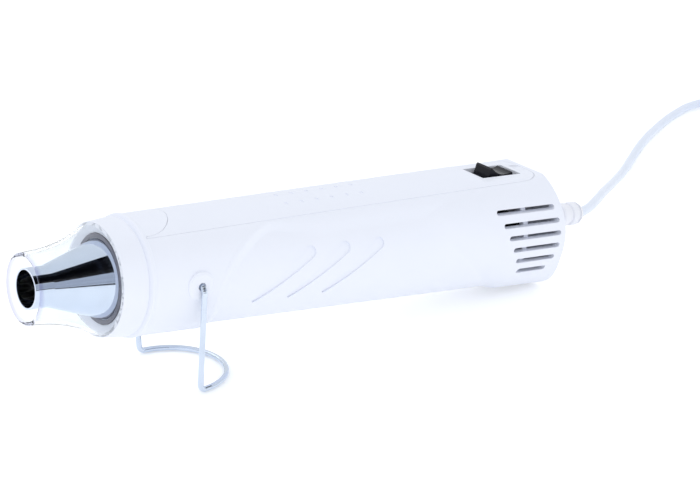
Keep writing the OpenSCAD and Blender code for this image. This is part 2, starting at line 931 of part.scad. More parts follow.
// Rocker: two faces that meet in a shallow valley, over a rounded belly
module rocker() {
    h = rocker_l / 2;
    valley = [for (a = [-1 : 0.25 : 1]) [a * (h - 0.5), rocker_valley + (rocker_top - rocker_valley) * a * a]];
    color([0.06, 0.06, 0.07])
        placed()
            translate([opening_x, 0, rocker_pivot_z])
                rotate([0, rocker_tilt, 0]) {
                    rotate([90, 0, 0])
                        linear_extrude(rocker_w, center = true)
                            polygon(concat([[h, rocker_top - 0.8], [h, 0], [h * 0.5, rocker_bottom],
                                [-h * 0.5, rocker_bottom], [-h, 0], [-h, rocker_top - 0.8]], valley));
                    rod_y(0, 0, -rocker_w / 2 - rocker_gap - 0.9, rocker_w / 2 + rocker_gap + 0.9,
                        trunnion_r, 40);
                }
}

module switch_terminals() {
    bottom = switch_floor_z - switch_depth;
    color([0.8, 0.75, 0.5])
        placed()
            for (x = [-6, 1.2])
                translate([opening_x + x, -2.4, bottom - 7])
                    cube([0.8, 4.8, 7]);
}

module cord_clamp() {
    x = tail_x - clamp_back;
    color([0.15, 0.15, 0.16])
        placed()
            difference() {
                translate([x, -clamp_w / 2, -cord_d / 2])
                    cube([clamp_l, clamp_w, cord_d + clamp_t]);
                rod_x(x - 1, clamp_l + 2, cord_d / 2, 40);
                translate([x - 1, -cord_d / 2, -cord_d])
                    cube([clamp_l + 2, cord_d, cord_d]);
                for (y = [-clamp_screw_y, clamp_screw_y])
                    translate([x + clamp_l / 2, y, -cord_d])
                        cylinder(h = 4 * cord_d, r = 1.2, $fn = 32);
            }
}

module clamp_screws() {
    x = tail_x - clamp_back + clamp_l / 2;
    top = cord_d / 2 + clamp_t;
    color([0.6, 0.6, 0.62])
        placed()
            for (y = [-clamp_screw_y, clamp_screw_y])
                translate([x, y, top]) {
                    cylinder(h = 1.6, r = 2.1, $fn = 32);
                    translate([0, 0, -top - cord_d / 2 - 5])
                        cylinder(h = top + cord_d / 2 + 5 + eps, r = 1.1, $fn = 32);
                }
}

module housing_screws() {
    color([0.6, 0.6, 0.62])
        placed()
            for (p = posts) {
                x = tail_x - p[0];
                difference() {
                    union() {
                        rod_y(x, p[1], screw_seat_y - screw_l + 1, screw_seat_y + eps, screw_r);
                        rod_y(x, p[1], screw_seat_y, screw_seat_y + screw_head_t, screw_head_r);
                    }
                    // Cross slot
                    for (a = [0, 90])
                        translate([x, screw_seat_y + screw_head_t, p[1]])
                            rotate([0, a, 0])
                                cube([3.4, 1.6, 0.7], center = true);
                }
            }
}

// End of the lead inside the tail and its two cores
module inner_leads() {
    x1 = tail_x - gland_in - gland_collar_t;
    x0 = tail_x - clamp_back - 4;
    bottom = switch_floor_z - switch_depth - 7;
    placed() {
        color([0.9, 0.9, 0.93])
            rod_x(x0, x1 - x0, cord_d / 2, 24);
        color([0.55, 0.3, 0.15])
            wire([[x0, -1, 0], [opening_x + 1.6, -1, 0], [opening_x + 1.6, -1, bottom]], lead_r, 16);
        color([0.2, 0.35, 0.7])
            wire([[x0, 1, 0], [x0 - 6, 1, -2], [board_x + board_l + 4, 4, -4],
                [board_x + board_l - 2, 6, board_z + board_t + lead_r]], lead_r, 16);
    }
}

// Ribbed sleeve on the tail; the cord leaves its end
module strain_relief() {
    x0 = tail_x - gland_in;
    out0 = tail_x + 1.2;
    pitch = (gland_x1 - out0 - 4) / gland_rings;
    ridge = 0.7;
    color(white_abs)
        placed()
            union() {
                rod_x(x0, gland_x1 - x0 - 1, gland_r - ridge - 0.2, 48);
                rod_x(x0, gland_in + 1, gland_r, 48);
                rod_x(x0 - gland_collar_t, gland_collar_t, gland_collar_r, 48);
                for (i = [0 : gland_rings - 1])
                    turned([[out0 + 3 + i * pitch, 0], [out0 + 3 + i * pitch, gland_r - 0.4],
                        [out0 + 3.4 + i * pitch, gland_r],
                        [out0 + 2.6 + (i + 0.62) * pitch, gland_r],
                        [out0 + 3 + (i + 0.62) * pitch, gland_r - 0.4],
                        [out0 + 3 + (i + 0.62) * pitch, 0]], 48);
                turned([[gland_x1 - 2, 0], [gland_x1 - 2, gland_r - 0.3], [gland_x1, gland_end_r - 0.6],
                    [gland_x1, 0]], 48);
            }
}

// Bail of one bent wire: pins in the housing, upright legs and a round foot flat on the table
wire_bend = 2.4;
foot_cx = -0.6;
foot_half = acos((wire_bend - foot_cx) / foot_r);
foot_y = foot_r * sin(foot_half);
lean = atan((leg_top_y - foot_y) / stand_h);
leg_l = (stand_h - wire_bend * (1 + sin(lean) + cos(lean))) / cos(lean);
bend_y = foot_y - wire_bend * cos(lean) + (leg_l + wire_bend) * sin(lean);
leg_dir = [0, -sin(lean), -cos(lean)];
leg_end = [0, bend_y + wire_bend * cos(lean), -wire_bend * (1 + sin(lean))] + leg_l * leg_dir;
bend_steps = 7;
foot_steps = 26;
stand_half = concat([[0, pin_in_y, 0]],
    [for (i = [0 : bend_steps]) let (a = (90 + lean) * i / bend_steps)
        [0, bend_y + wire_bend * sin(a), wire_bend * (cos(a) - 1)]],
    [for (i = [0 : bend_steps]) let (a = 90 * i / bend_steps)
        leg_end + wire_bend * ((1 - cos(a)) * [1, 0, 0] + sin(a) * leg_dir)]);
foot_line = [for (i = [1 : foot_steps - 1]) let (a = foot_half * (1 - 2 * i / foot_steps))
    [foot_cx + foot_r * cos(a), foot_r * sin(a), -stand_h]];
stand_line = concat(stand_half, foot_line,
    [for (i = [len(stand_half) - 1 : -1 : 0]) [stand_half[i][0], -stand_half[i][1], stand_half[i][2]]]);

module wire_stand() {
    color([0.78, 0.79, 0.82])
        translate([-centre_x, 0, hinge_h])
            tube(stand_line, wire_r, 20, [1, 1, 1]);
}

// Rings of a tube along a route; the frame keeps one side towards the given up direction
function unit(v) = v / norm(v);
function tangent(p, i) = unit(p[min(i + 1, len(p) - 1)] - p[max(i - 1, 0)]);
function ring_at(p, i, r, sides, up) =
    let (t = tangent(p, i), s = unit(cross(up, t)), u = cross(t, s))
    [for (k = [0 : sides - 1]) p[i] + r * (cos(360 * k / sides) * s + sin(360 * k / sides) * u)];

module tube(p, r, sides, up = [0, 0, 1]) {
    n = len(p);
    rings = [for (i = [0 : n - 1]) each ring_at(p, i, r, sides, up)];
    walls = [for (i = [0 : n - 2]) for (k = [0 : sides - 1])
        let (a = i * sides + k, b = i * sides + (k + 1) % sides)
        each [[a, a + sides, b], [b, a + sides, b + sides]]];
    first = [for (k = [1 : sides - 2]) [0, k, k + 1]];
    last = [for (k = [1 : sides - 2]) [(n - 1) * sides, (n - 1) * sides + k + 1, (n - 1) * sides + k]];
    polyhedron(rings, concat(walls, first, last), convexity = 10);
}

// Point of a smooth curve through the route's points
function curve_point(p, i, t) =
    let (a = p[max(i - 1, 0)], b = p[i], c = p[i + 1], d = p[min(i + 2, len(p) - 1)])
    0.5 * (2 * b + (c - a) * t + (2 * a - 5 * b + 4 * c - d) * t * t + (3 * b - a - 3 * c + d) * t * t * t);
function curve(p, steps) = concat(
    [for (i = [0 : len(p) - 2]) for (k = [0 : steps - 1]) curve_point(p, i, k / steps)], [p[len(p) - 1]]);
function path_length(p, i = 0) = i >= len(p) - 1 ? 0 : norm(p[i + 1] - p[i]) + path_length(p, i + 1);

cord_r = cord_d / 2;

// Stored coil: spirals in on the lower layer, climbs, and spirals out on the upper one
coil_pitch = cord_d + coil_gap;
coil_mid = coil_turns / 2;
coil_out_r = coil_in_r + coil_pitch * coil_mid;
coil_z = cord_r + 1;
coil_start = [472 - centre_x, 151.5, coil_z];
coil_centre = coil_start + [cord_d, -coil_out_r, 0];
function coil_r_at(t) = coil_in_r + coil_pitch * sqrt((t - coil_mid) * (t - coil_mid) + 0.004);
function coil_climb(t) = min(1, max(0, (t - coil_mid + 0.25) / 0.5));
function coil_point(t) = coil_centre + [coil_r_at(t) * sin(360 * t), coil_r_at(t) * cos(360 * t),
    coil_pitch * coil_climb(t)];
coil_rings = 24;
coil_body = [for (i = [0 : round(coil_turns * coil_rings)]) coil_point(i / coil_rings)];
coil_last = coil_body[len(coil_body) - 1];
coil_path = concat([coil_start, coil_start + [cord_d * 0.5, 0, 0]], coil_body,
    [coil_last - [0, cord_d * 1.5, 0], coil_last - [0, cord_d * 3, 0]]);

// Route of the lead in the row frame, from the strain relief to the stored coil
exit_point = [(gland_x1 - hinge_x) * cos(tilt) - hinge_z * sin(tilt) - centre_x, 0,
    hinge_h - (gland_x1 - hinge_x) * sin(tilt) - hinge_z * cos(tilt)];
exit_dir = [cos(tilt), 0, -sin(tilt)];
cord_from_hinge = [[228.5, 2.6, 25.6], [235.5, 7.2, 24.3], [245, 14.6, 22.6], [255.2, 23, 20.3],
    [270, 35.8, 16.6], [284.6, 48, 12.8], [300.5, 61.4, 8.7], [317.1, 75, 5.1], [333, 87.8, 3],
    [349, 100.3, cord_r], [364.9, 112, cord_r], [381.5, 122.9, cord_r], [398.9, 133, cord_r],
    [412.5, 140.2, cord_r], [425.9, 146, cord_r], [437, 149.3, 2.5]];
cord_route = concat([exit_point, exit_point + exit_dir * cord_d * 0.5],
    [for (p = cord_from_hinge) p - [centre_x, 0, 0]], [coil_start - [cord_d * 3, 1, 0.3],
    coil_start - [cord_d, 0, 0], coil_start]);

module power_cord() {
    color([0.9, 0.9, 0.93])
        tube(curve(cord_route, 2), cord_r, 8);
}

// Least gap of the coil to itself, on its own rings
coil_self_gap = min([for (i = [0 : 3 : len(coil_body) - 1]) for (j = [i + coil_rings / 2 : len(coil_body) - 1])
    norm(coil_body[i] - coil_body[j])]) - cord_d;
echo(coil_self_gap = coil_self_gap);
echo(lead_length = path_length(curve(cord_route, 2)) + path_length(coil_path));
echo(tilt = tilt, centre_x = centre_x, hinge_h = hinge_h, exit_point = exit_point, coil_last = coil_last);

module cord_coil() {
    color([0.9, 0.9, 0.93])
        tube(coil_path, cord_r, 6);
}

// Band round all the turns, on the side away from the tool
module cord_tie() {
    w = 4;
    t = 0.7;
    slack = 0.3;
    r0 = coil_in_r - cord_r - slack;
    r1 = coil_out_r + cord_r + slack;
    z0 = coil_z - cord_r - slack;
    z1 = coil_z + coil_pitch + cord_r + slack;
    color([0.1, 0.1, 0.1])
        translate([coil_centre[0], coil_centre[1], 0])
            rotate(225)
                difference() {
                    translate([r0 - t, -w / 2, z0 - t])
                        cube([r1 - r0 + 2 * t, w, z1 - z0 + 2 * t]);
                    translate([r0, -w, z0])
                        cube([r1 - r0, 2 * w, z1 - z0]);
                }
}

// Flat two-pin plug beside the coil, with a tapered sleeve on the cord
plug_start = coil_last - [0, cord_d * 3, 0];
plug_sleeve_l = 12;
plug_l = 30;
plug_h = 2 * coil_last[2];
pin_r = 2;
pin_l = 19;
pin_spacing = 18.6;
module plug_body() {
    z = coil_last[2];
    color([0.9, 0.9, 0.93])
        translate([plug_start[0], plug_start[1], z])
            rotate([90, 0, 0]) {
                cylinder(h = plug_sleeve_l, r1 = cord_r + 1, r2 = cord_r + 2.2, $fn = 32);
                translate([0, 0, plug_sleeve_l - eps])
                    linear_extrude(plug_l)
                        polygon([[-8, -z], [8, -z], [13, -z * 0.55], [13, z * 0.55], [8, z], [-8, z],
                            [-13, z * 0.55], [-13, -z * 0.55]]);
            }
}

module plug_pins() {
    z = coil_last[2];
    color([0.8, 0.75, 0.5])
        for (side = [-1, 1])
            translate([plug_start[0] + side * pin_spacing / 2, plug_start[1] - plug_sleeve_l - plug_l + eps, z])
                rotate([90, 0, 0])
                    cylinder(h = pin_l, r = pin_r, $fn = 32);
}

left_shell();
right_shell();
top_panel();
front_collar();
clear_guard();
nozzle();
heat_shield_ring();
heater_core();
heater_coil();
mica_sleeve();
thermal_cutout();
air_duct();
fan_wheel();
motor_shaft();
motor_can();
motor_cap();
motor_mount();
rectifier_board();
board_parts();
switch_body();
rocker();
switch_terminals();
cord_clamp();
clamp_screws();
housing_screws();
inner_leads();
strain_relief();
wire_stand();
power_cord();
cord_coil();
cord_tie();
plug_body();
plug_pins();
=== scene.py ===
import math

import bmesh
import bpy
from mathutils import Matrix, Vector


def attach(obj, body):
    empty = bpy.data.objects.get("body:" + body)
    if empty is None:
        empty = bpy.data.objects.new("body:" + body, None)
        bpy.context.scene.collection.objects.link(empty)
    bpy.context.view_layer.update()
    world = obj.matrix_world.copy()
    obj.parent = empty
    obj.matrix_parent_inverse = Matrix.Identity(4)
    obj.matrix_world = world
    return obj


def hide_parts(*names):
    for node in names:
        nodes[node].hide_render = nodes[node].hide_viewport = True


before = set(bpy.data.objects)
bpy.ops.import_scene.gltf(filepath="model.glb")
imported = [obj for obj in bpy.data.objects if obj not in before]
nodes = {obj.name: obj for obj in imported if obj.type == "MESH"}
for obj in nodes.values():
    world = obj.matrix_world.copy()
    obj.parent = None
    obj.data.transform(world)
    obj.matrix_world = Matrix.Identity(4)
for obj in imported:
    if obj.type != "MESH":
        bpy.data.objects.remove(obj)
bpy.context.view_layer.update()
scene = bpy.context.scene

# Lengths of the CAD source that the scene's own pieces follow, in millimetres
CENTRE_X = 77.2871
HINGE_H = 47.1
HINGE_X = 66.2
HINGE_Z = 1.0
CORD_D = 4.4
COIL_IN_R = 16.0
COIL_GAP = 0.5
COIL_START_X = 472
COIL_START_Y = 151.5
GLAND_END = 288.7
RING_X = 34.8
BODY_X = 46.0
BODY_L = 210.0
BODY_R = 25.0
TAIL_R = 28.8
GRIP_DEPTH = 1.6
GRIP_X0 = 75.0
GRIP_X1 = 220.0
GRIP_LOW_Z = -9.5
GRIP_CURVE_L = 35.0
GRIP_CURVE_H = 31.0

# The source's tilt of the tool in radians, its turns of the coil, and its plain numbers
TILT = math.radians(5.07151)
COIL_TURNS = 7.25
COIL_CLIMB_TURNS = 0.5
COIL_ROUNDING = 0.004
GRIP_SLOPE = 0.55

# Lead: points per stretch of its route, per turn of its coil, and round its tube
ROUTE_STEPS = 5
COIL_STEPS = 36
CORD_SIDES = 14

# Slopes of the grip, in millimetres
SEAM_Y = 15.05
FRONT_EDGE_X = GRIP_X0 + 20
FRONT_SLOPE = 4.5
REAR_SLOPE_MIN = 8
REAR_SLOPE_MORE = 32
TOP_START = 21
TOP_SHORTER = 30
TOP_WIDENS_AT = 24
TOP_WIDENS_OVER = 30
TOP_WIDER = 6
SLOPE_LEAD_IN = 1.2
SLOPE_LIFT = 0.03
SLOPE_SINK = 0.05
SLOPE_ROOT = 0.15
UNDER_GAP = 0.1

# Their points along and across an edge, and in radians a small step and where they end underneath
EDGE_STEPS = 60
SLOPE_ROWS = 16
ANGLE_STEP = 0.01
UNDER = math.pi - UNDER_GAP / BODY_R

# Rim of the heat shield ring and the rib behind the vents, in millimetres and degrees
RIM_X = RING_X - 0.8
RIM_SEGMENTS = 96
WEB_X = (234.6, 237.4)
WEB_R = (22.0, 25.05)
WEB_ARC = (-52, 40)
WEB_STEPS = 24
WEB_ROUNDING = 0.25

# Painted shade on the lip of the clear guard: where it is full and where it fades out, in metres
# along the tool's axis
LIP_SHADE_FULL = 0.0006
LIP_SHADE_END = 0.0022

# Noise scale and detail of a material's colour and gloss, and the depth of its relief in metres
PLASTIC_TONE = (38, 2)
PLASTIC_GLOSS = (140, 4)
METAL_TONE = (60, 3)
METAL_GLOSS = (220, 4)
RELIEF_DEPTH = 0.0001

# Sockets of a Mix node that mixes colours
MIX_FACTOR = 0
MIX_A = 6
MIX_B = 7
MIX_RESULT = 2

# Floor: reach and height in metres, and its glow for what it lights and for all else
FLOOR_REACH = 6
FLOOR_Z = -0.0002
FLOOR_GLOW = (0.15, 0.25)

# What the lamps and the cards face, and how far the cards stand from it, in metres
LAMP_AIM = Vector((0, 0, 0.05))
CARD_AIM = Vector((-0.11, 0, 0.05))
CARD_FAR = 1.3


def placed(x, y, z):
    """A point of the tool's own frame, in millimetres, as metres in the shared frame."""
    dx, dz = x - HINGE_X, z - HINGE_Z
    c, s = math.cos(TILT), math.sin(TILT)
    return Vector((c * dx + s * dz - CENTRE_X, y, -s * dx + c * dz + HINGE_H)) / 1000


def smooth_step(t):
    """A rise from 0 to 1 as t goes from 0 to 1, level at both ends."""
    t = min(1.0, max(0.0, t))
    return t * t * (3 - 2 * t)


def mesh_object(name, bm):
    """A new object of the scene from a bmesh, which is freed."""
    mesh = bpy.data.meshes.new(name)
    bm.to_mesh(mesh)
    bm.free()
    obj = bpy.data.objects.new(name, mesh)
    scene.collection.objects.link(obj)
    return obj


def tool_piece(name, bm):
    """A piece that rides on the tool, from a bmesh."""
    obj = mesh_object(name, bm)
    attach(obj, "tool")
    return obj


def flat_square(name, reach):
    """A flat square that reaches this far from its middle to each of its sides."""
    bm = bmesh.new()
    bmesh.ops.create_grid(bm, x_segments=1, y_segments=1, size=reach)
    return mesh_object(name, bm)


# Camera, with its axes, place and lens as fitted to the photograph
camera_data = bpy.data.cameras.new("camera")
camera = bpy.data.objects.new("camera", camera_data)
scene.collection.objects.link(camera)
right = Vector((0.81164, -0.583979, 0.014445))
down = Vector((-0.196166, -0.295766, -0.934902))
ahead = Vector((0.550236, 0.75597, -0.354612))
camera_turn = Matrix((right, -down, -ahead)).transposed()
camera_at = Vector((-0.530295, -0.748074, 0.387296))
camera.matrix_world = Matrix.Translation(camera_at) @ camera_turn.to_4x4()
camera_data.sensor_fit = "HORIZONTAL"
camera_data.sensor_width = 36
camera_data.lens = 118.2857
camera_data.clip_start = 0.01
scene.camera = camera


# Lead
def smooth_route(p, steps):
    """The curve through the route's points, as the CAD source draws it."""
    out = []
    for i in range(len(p) - 1):
        a, b = p[max(i - 1, 0)], p[i]
        c, d = p[i + 1], p[min(i + 2, len(p) - 1)]
        for k in range(steps):
            t = k / steps
            out.append(0.5 * (2 * b + (c - a) * t + (2 * a - 5 * b + 4 * c - d) * t * t
                              + (3 * b - a - 3 * c + d) * t ** 3))
    return out + [p[-1]]


cord_r = CORD_D / 2
pitch = CORD_D + COIL_GAP
coil_mid = COIL_TURNS / 2
coil_out_r = COIL_IN_R + pitch * coil_mid
coil_start = Vector((COIL_START_X - CENTRE_X, COIL_START_Y, cord_r + 1))
coil_centre = coil_start + Vector((CORD_D, -coil_out_r, 0))


def coil_point(t):
    """Point of the coil after t turns: inwards on the lower layer, outwards on the upper one."""
    r = COIL_IN_R + pitch * math.sqrt((t - coil_mid) ** 2 + COIL_ROUNDING)
    climb = smooth_step((t - coil_mid + COIL_CLIMB_TURNS / 2) / COIL_CLIMB_TURNS)
    a = 2 * math.pi * t
    return coil_centre + Vector((r * math.sin(a), r * math.cos(a), pitch * climb))


coil_body = [coil_point(i / COIL_STEPS) for i in range(round(COIL_TURNS * COIL_STEPS) + 1)]
coil_last = coil_body[-1]
coil_path = [coil_start, coil_start + Vector((CORD_D * 0.5, 0, 0))] + coil_body + [
    coil_last - Vector((0, CORD_D * 1.5, 0)), coil_last - Vector((0, CORD_D * 3, 0))]

# Points of the lead on its way to the coil, with x counted from the stand's hinge
from_hinge = [(228.5, 2.6, 25.6), (235.5, 7.2, 24.3), (245, 14.6, 22.6), (255.2, 23, 20.3),
              (270, 35.8, 16.6), (284.6, 48, 12.8), (300.5, 61.4, 8.7), (317.1, 75, 5.1),
              (333, 87.8, 3), (349, 100.3, cord_r), (364.9, 112, cord_r), (381.5, 122.9, cord_r),
              (398.9, 133, cord_r), (412.5, 140.2, cord_r), (425.9, 146, cord_r), (437, 149.3, 2.5)]
cord_exit = placed(GLAND_END, 0, 0) * 1000
tool_axis = Vector((math.cos(TILT), 0, -math.sin(TILT)))
route = [cord_exit, cord_exit + tool_axis * CORD_D * 0.5]
route += [Vector(p) - Vector((CENTRE_X, 0, 0)) for p in from_hinge]
route += [coil_start - Vector((CORD_D * 3, 1, 0.3)), coil_start - Vector((CORD_D, 0, 0)), coil_start]
cord_line = smooth_route(route, ROUTE_STEPS)[:-1] + coil_path
cord_points = [at / 1000 for at in cord_line]


def tube(name, points, radius, sides):
    """A closed round tube along the points, as one mesh."""
    bm = bmesh.new()
    rings = []
    side = None
    for i, at in enumerate(points):
        along = (points[min(i + 1, len(points) - 1)] - points[max(i - 1, 0)]).normalized()
        side = Vector((0, 0, 1)).cross(along) if side is None else side - along * side.dot(along)
        side.normalize()
        up = along.cross(side)
        ring = []
        for k in range(sides):
            a = 2 * math.pi * k / sides
            ring.append(bm.verts.new(at + radius * (math.cos(a) * side + math.sin(a) * up)))
        rings.append(ring)
    for a, b in zip(rings, rings[1:]):
        for k in range(sides):
            face = bm.faces.new((a[k], a[(k + 1) % sides], b[(k + 1) % sides], b[k]))
            face.smooth = True
    bm.faces.new(list(reversed(rings[0])))
    bm.faces.new(rings[-1])
    return mesh_object(name, bm)


lead = tube("mains_lead", cord_points, cord_r / 1000, CORD_SIDES)
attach(lead, "tool")
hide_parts("power_cord", "cord_coil")


# Slopes that soften the edges of the grip
def body_r(x):
    """Radius of the housing at a place along the axis."""
    return BODY_R + (TAIL_R - BODY_R) * (x - BODY_X) / BODY_L


def seam_angle(x):
    """Angle from the top at which the top strip ends."""
    return math.asin(SEAM_Y / body_r(x))


def front_edge(phi):
    """Place along the axis of the grip's curved front edge, at an angle from the top."""
    up = min(1, max(0, (body_r(FRONT_EDGE_X) * math.cos(phi) - GRIP_LOW_Z) / GRIP_CURVE_H))
    return GRIP_X0 + GRIP_CURVE_L * (1 - math.sqrt(1 - up * up))


def slope_piece(name, side, border):
    """Moulded slope that takes the skin down to the floor of the grip along one of its edges.

    Each point of the border is its place along the axis, its angle from the top, and how far
    the slope runs from there, along the axis and round the body."""
    bm = bmesh.new()
    grid = []
    for x, phi, dx, ds in border:
        size = math.hypot(dx, ds)
        line = []
        for k in range(-1, SLOPE_ROWS + 1):
            t = -SLOPE_LEAD_IN / size if k < 0 else k / SLOPE_ROWS
            px = x + dx * t
            pr = body_r(px)
            pa = min(max(phi + ds * t / pr, seam_angle(px)), UNDER)
            top = pr + SLOPE_LIFT - (GRIP_DEPTH + SLOPE_SINK + SLOPE_LIFT) * smooth_step(t)
            low = pr - GRIP_DEPTH - SLOPE_ROOT
            line.append([bm.verts.new(placed(px, side * r * math.sin(pa), r * math.cos(pa)))
                         for r in (top, low)])
        grid.append(line)
    skin = set()
    for a, b in zip(grid, grid[1:]):
        for p, q, u, v in zip(a, a[1:], b, b[1:]):
            skin.add(bm.faces.new((p[0], q[0], v[0], u[0])))
            bm.faces.new((p[1], u[1], v[1], q[1]))
        for k in (0, -1):
            bm.faces.new((a[k][0], b[k][0], b[k][1], a[k][1]))
    for line in (grid[0], grid[-1]):
        for p, q in zip(line, line[1:]):
            bm.faces.new((p[0], q[0], q[1], p[1]))
    bmesh.ops.recalc_face_normals(bm, faces=bm.faces)
    for face in skin:
        face.smooth = True
    for edge in bm.edges:
        if sum(face in skin for face in edge.link_faces) == 1:
            edge.smooth = False
    return tool_piece(name, bm)


rear_border, front_border, top_border = [], [], []
for i in range(EDGE_STEPS + 1):
    # Rear edge: it leans, and its slope is longest at the top
    seam = seam_angle(GRIP_X1)
    phi = seam + (UNDER - seam) * i / EDGE_STEPS
    rear_border.append((GRIP_X1 - GRIP_SLOPE * body_r(GRIP_X1) * math.cos(phi), phi,
                        -(REAR_SLOPE_MIN + REAR_SLOPE_MORE * (0.5 + 0.5 * math.cos(phi))), 0))
    # Front edge: it is curved, and its slope runs square to it
    seam = seam_angle(GRIP_X0 + GRIP_CURVE_L)
    phi = seam + (UNDER - seam) * i / EDGE_STEPS
    x = front_edge(phi)
    lean = (front_edge(phi + ANGLE_STEP) - front_edge(phi - ANGLE_STEP)) / (2 * ANGLE_STEP)
    size = math.hypot(body_r(x), lean)
    front_border.append((x, phi, FRONT_SLOPE * body_r(x) / size, -FRONT_SLOPE * lean / size))
    # Top edge: it follows the top strip, and its slope widens behind its front end
    x = GRIP_X0 + TOP_START + (GRIP_X1 - GRIP_X0 - TOP_SHORTER) * i / EDGE_STEPS
    wider = TOP_WIDER * smooth_step((x - GRIP_X0 - TOP_WIDENS_AT) / TOP_WIDENS_OVER)
    top_border.append((x, seam_angle(x), 0, FRONT_SLOPE + wider))
slopes = []
for part, border in (("rear", rear_border), ("front", front_border), ("top", top_border)):
    slopes.append(slope_piece("grip_" + part + "_near", -1, border))
    slopes.append(slope_piece("grip_" + part + "_far", 1, border))


# Rim of the heat shield ring, laid on the collar round the cone's base
def turned_piece(name, profile, segments):
    """A ring turned about the tool's axis from a closed profile of (x, r) points."""
    bm = bmesh.new()
    loops = []
    count = len(profile)
    for i in range(segments):
        a = 2 * math.pi * i / segments
        loops.append([bm.verts.new(placed(x, r * math.cos(a), r * math.sin(a))) for x, r in profile])
    for i in range(segments):
        a, b = loops[i], loops[(i + 1) % segments]
        for k in range(count):
            bm.faces.new((a[k], a[(k + 1) % count], b[(k + 1) % count], b[k]))
    bmesh.ops.recalc_face_normals(bm, faces=bm.faces)
    return tool_piece(name, bm)


rim_profile = [(RIM_X - 0.45, 16.55), (RIM_X - 0.1, 16.4), (RIM_X - 0.1, 18.3),
               (RIM_X - 0.25, 18.4), (RIM_X - 0.45, 18.3)]
shield_rim = turned_piece("shield_rim", rim_profile, RIM_SEGMENTS)


# Rib behind the vents
def arc_web(name, side):
    """A thin curved web inside the housing, drawn in the tool's own frame."""
    bm = bmesh.new()
    (x0, x1), (r0, r1), (low, high) = WEB_X, WEB_R, WEB_ARC
    corners = []
    for i in range(WEB_STEPS + 1):
        a = math.radians(low + (high - low) * i / WEB_STEPS)
        loop = [(x0, r0), (x1, r0), (x1, r1), (x0, r1)]
        corners.append([bm.verts.new(placed(x, side * r * math.cos(a), r * math.sin(a)))
                        for x, r in loop])
    for a, b in zip(corners, corners[1:]):
        for k in range(4):
            bm.faces.new((a[k], a[(k + 1) % 4], b[(k + 1) % 4], b[k]))
    bm.faces.new(corners[0])
    bm.faces.new(list(reversed(corners[-1])))
    bmesh.ops.recalc_face_normals(bm, faces=bm.faces)
    bmesh.ops.bevel(bm, geom=bm.edges, offset=WEB_ROUNDING / 1000, segments=2, affect="EDGES")
    return tool_piece(name, bm)


webs = [arc_web("vent_web_near", -1), arc_web("vent_web_far", 1)]


# Materials
class Shader:
    """A procedural material: nodes are added to it one by one."""

    def __init__(self, name):
        self.mat = bpy.data.materials.new(name)
        self.mat.use_nodes = True
        self.tree = self.mat.node_tree
        self.bsdf = self.tree.nodes["Principled BSDF"]
        self.coords = self.tree.nodes.new("ShaderNodeTexCoord").outputs["Object"]

    def node(self, kind, **values):
        n = self.tree.nodes.new(kind)
        for key, value in values.items():
            if hasattr(n, key):
                setattr(n, key, value)
            else:
                n.inputs[key.replace("_", " ")].default_value = value
        return n

    def link(self, a, b):
        self.tree.links.new(a, b)

    def noise(self, scale, detail=3.0, rough=0.5):
        n = self.node("ShaderNodeTexNoise", Scale=scale, Detail=detail, Roughness=rough)
        self.link(self.coords, n.inputs["Vector"])
        return n.outputs["Fac"]

    def ramp(self, fac, stops):
        n = self.node("ShaderNodeValToRGB")
        elements = n.color_ramp.elements
        for k, (place, colour) in ((0, stops[0]), (1, stops[-1])):
            elements[k].position = place
            elements[k].color = (*colour, 1)
        for place, colour in stops[1:-1]:
            elements.new(place).color = (*colour, 1)
        self.link(fac, n.inputs["Fac"])
        return n.outputs["Color"]

    def mottle(self, scale, detail, dark, light):
        """A colour that wanders softly between two tones."""
        return self.ramp(self.noise(scale, detail), [(0.3, dark), (0.7, light)])

    def span(self, fac, low, high):
        """A value from 0 to 1 turned into one from low to high."""
        n = self.node("ShaderNodeMapRange")
        n.inputs["To Min"].default_value = low
        n.inputs["To Max"].default_value = high
        self.link(fac, n.inputs["Value"])
        return n.outputs["Result"]

    def bump(self, height, strength, edge=0.0):
        """Fine relief, over edges rounded in the shading only where edge is given, in metres."""
        n = self.node("ShaderNodeBump", Strength=strength, Distance=RELIEF_DEPTH)
        self.link(height, n.inputs["Height"])
        if edge:
            b = self.node("ShaderNodeBevel", samples=4)
            b.inputs["Radius"].default_value = edge
            self.link(b.outputs["Normal"], n.inputs["Normal"])
        self.link(n.outputs["Normal"], self.bsdf.inputs["Normal"])

    def set(self, **values):
        for key, value in values.items():
            self.bsdf.inputs[key.replace("_", " ")].default_value = value


def plastic(name, dark, light, rough, grain=900.0, bump=0.06, edge=0.0, **extra):
    s = Shader(name)
    s.link(s.mottle(*PLASTIC_TONE, dark, light), s.bsdf.inputs["Base Color"])
    s.link(s.span(s.noise(*PLASTIC_GLOSS), rough[0], rough[1]), s.bsdf.inputs["Roughness"])
    s.bump(s.noise(grain, 4, 0.6), bump, edge)
    s.set(**extra)
    return s


def metal(name, dark, light, rough, grain=600.0, bump=0.03, edge=0.0, metallic=1.0):
    s = Shader(name)
    s.link(s.mottle(*METAL_TONE, dark, light), s.bsdf.inputs["Base Color"])
    s.link(s.span(s.noise(*METAL_GLOSS), rough[0], rough[1]), s.bsdf.inputs["Roughness"])
    s.bump(s.noise(grain, 3), bump, edge)
    s.set(Metallic=metallic)
    return s


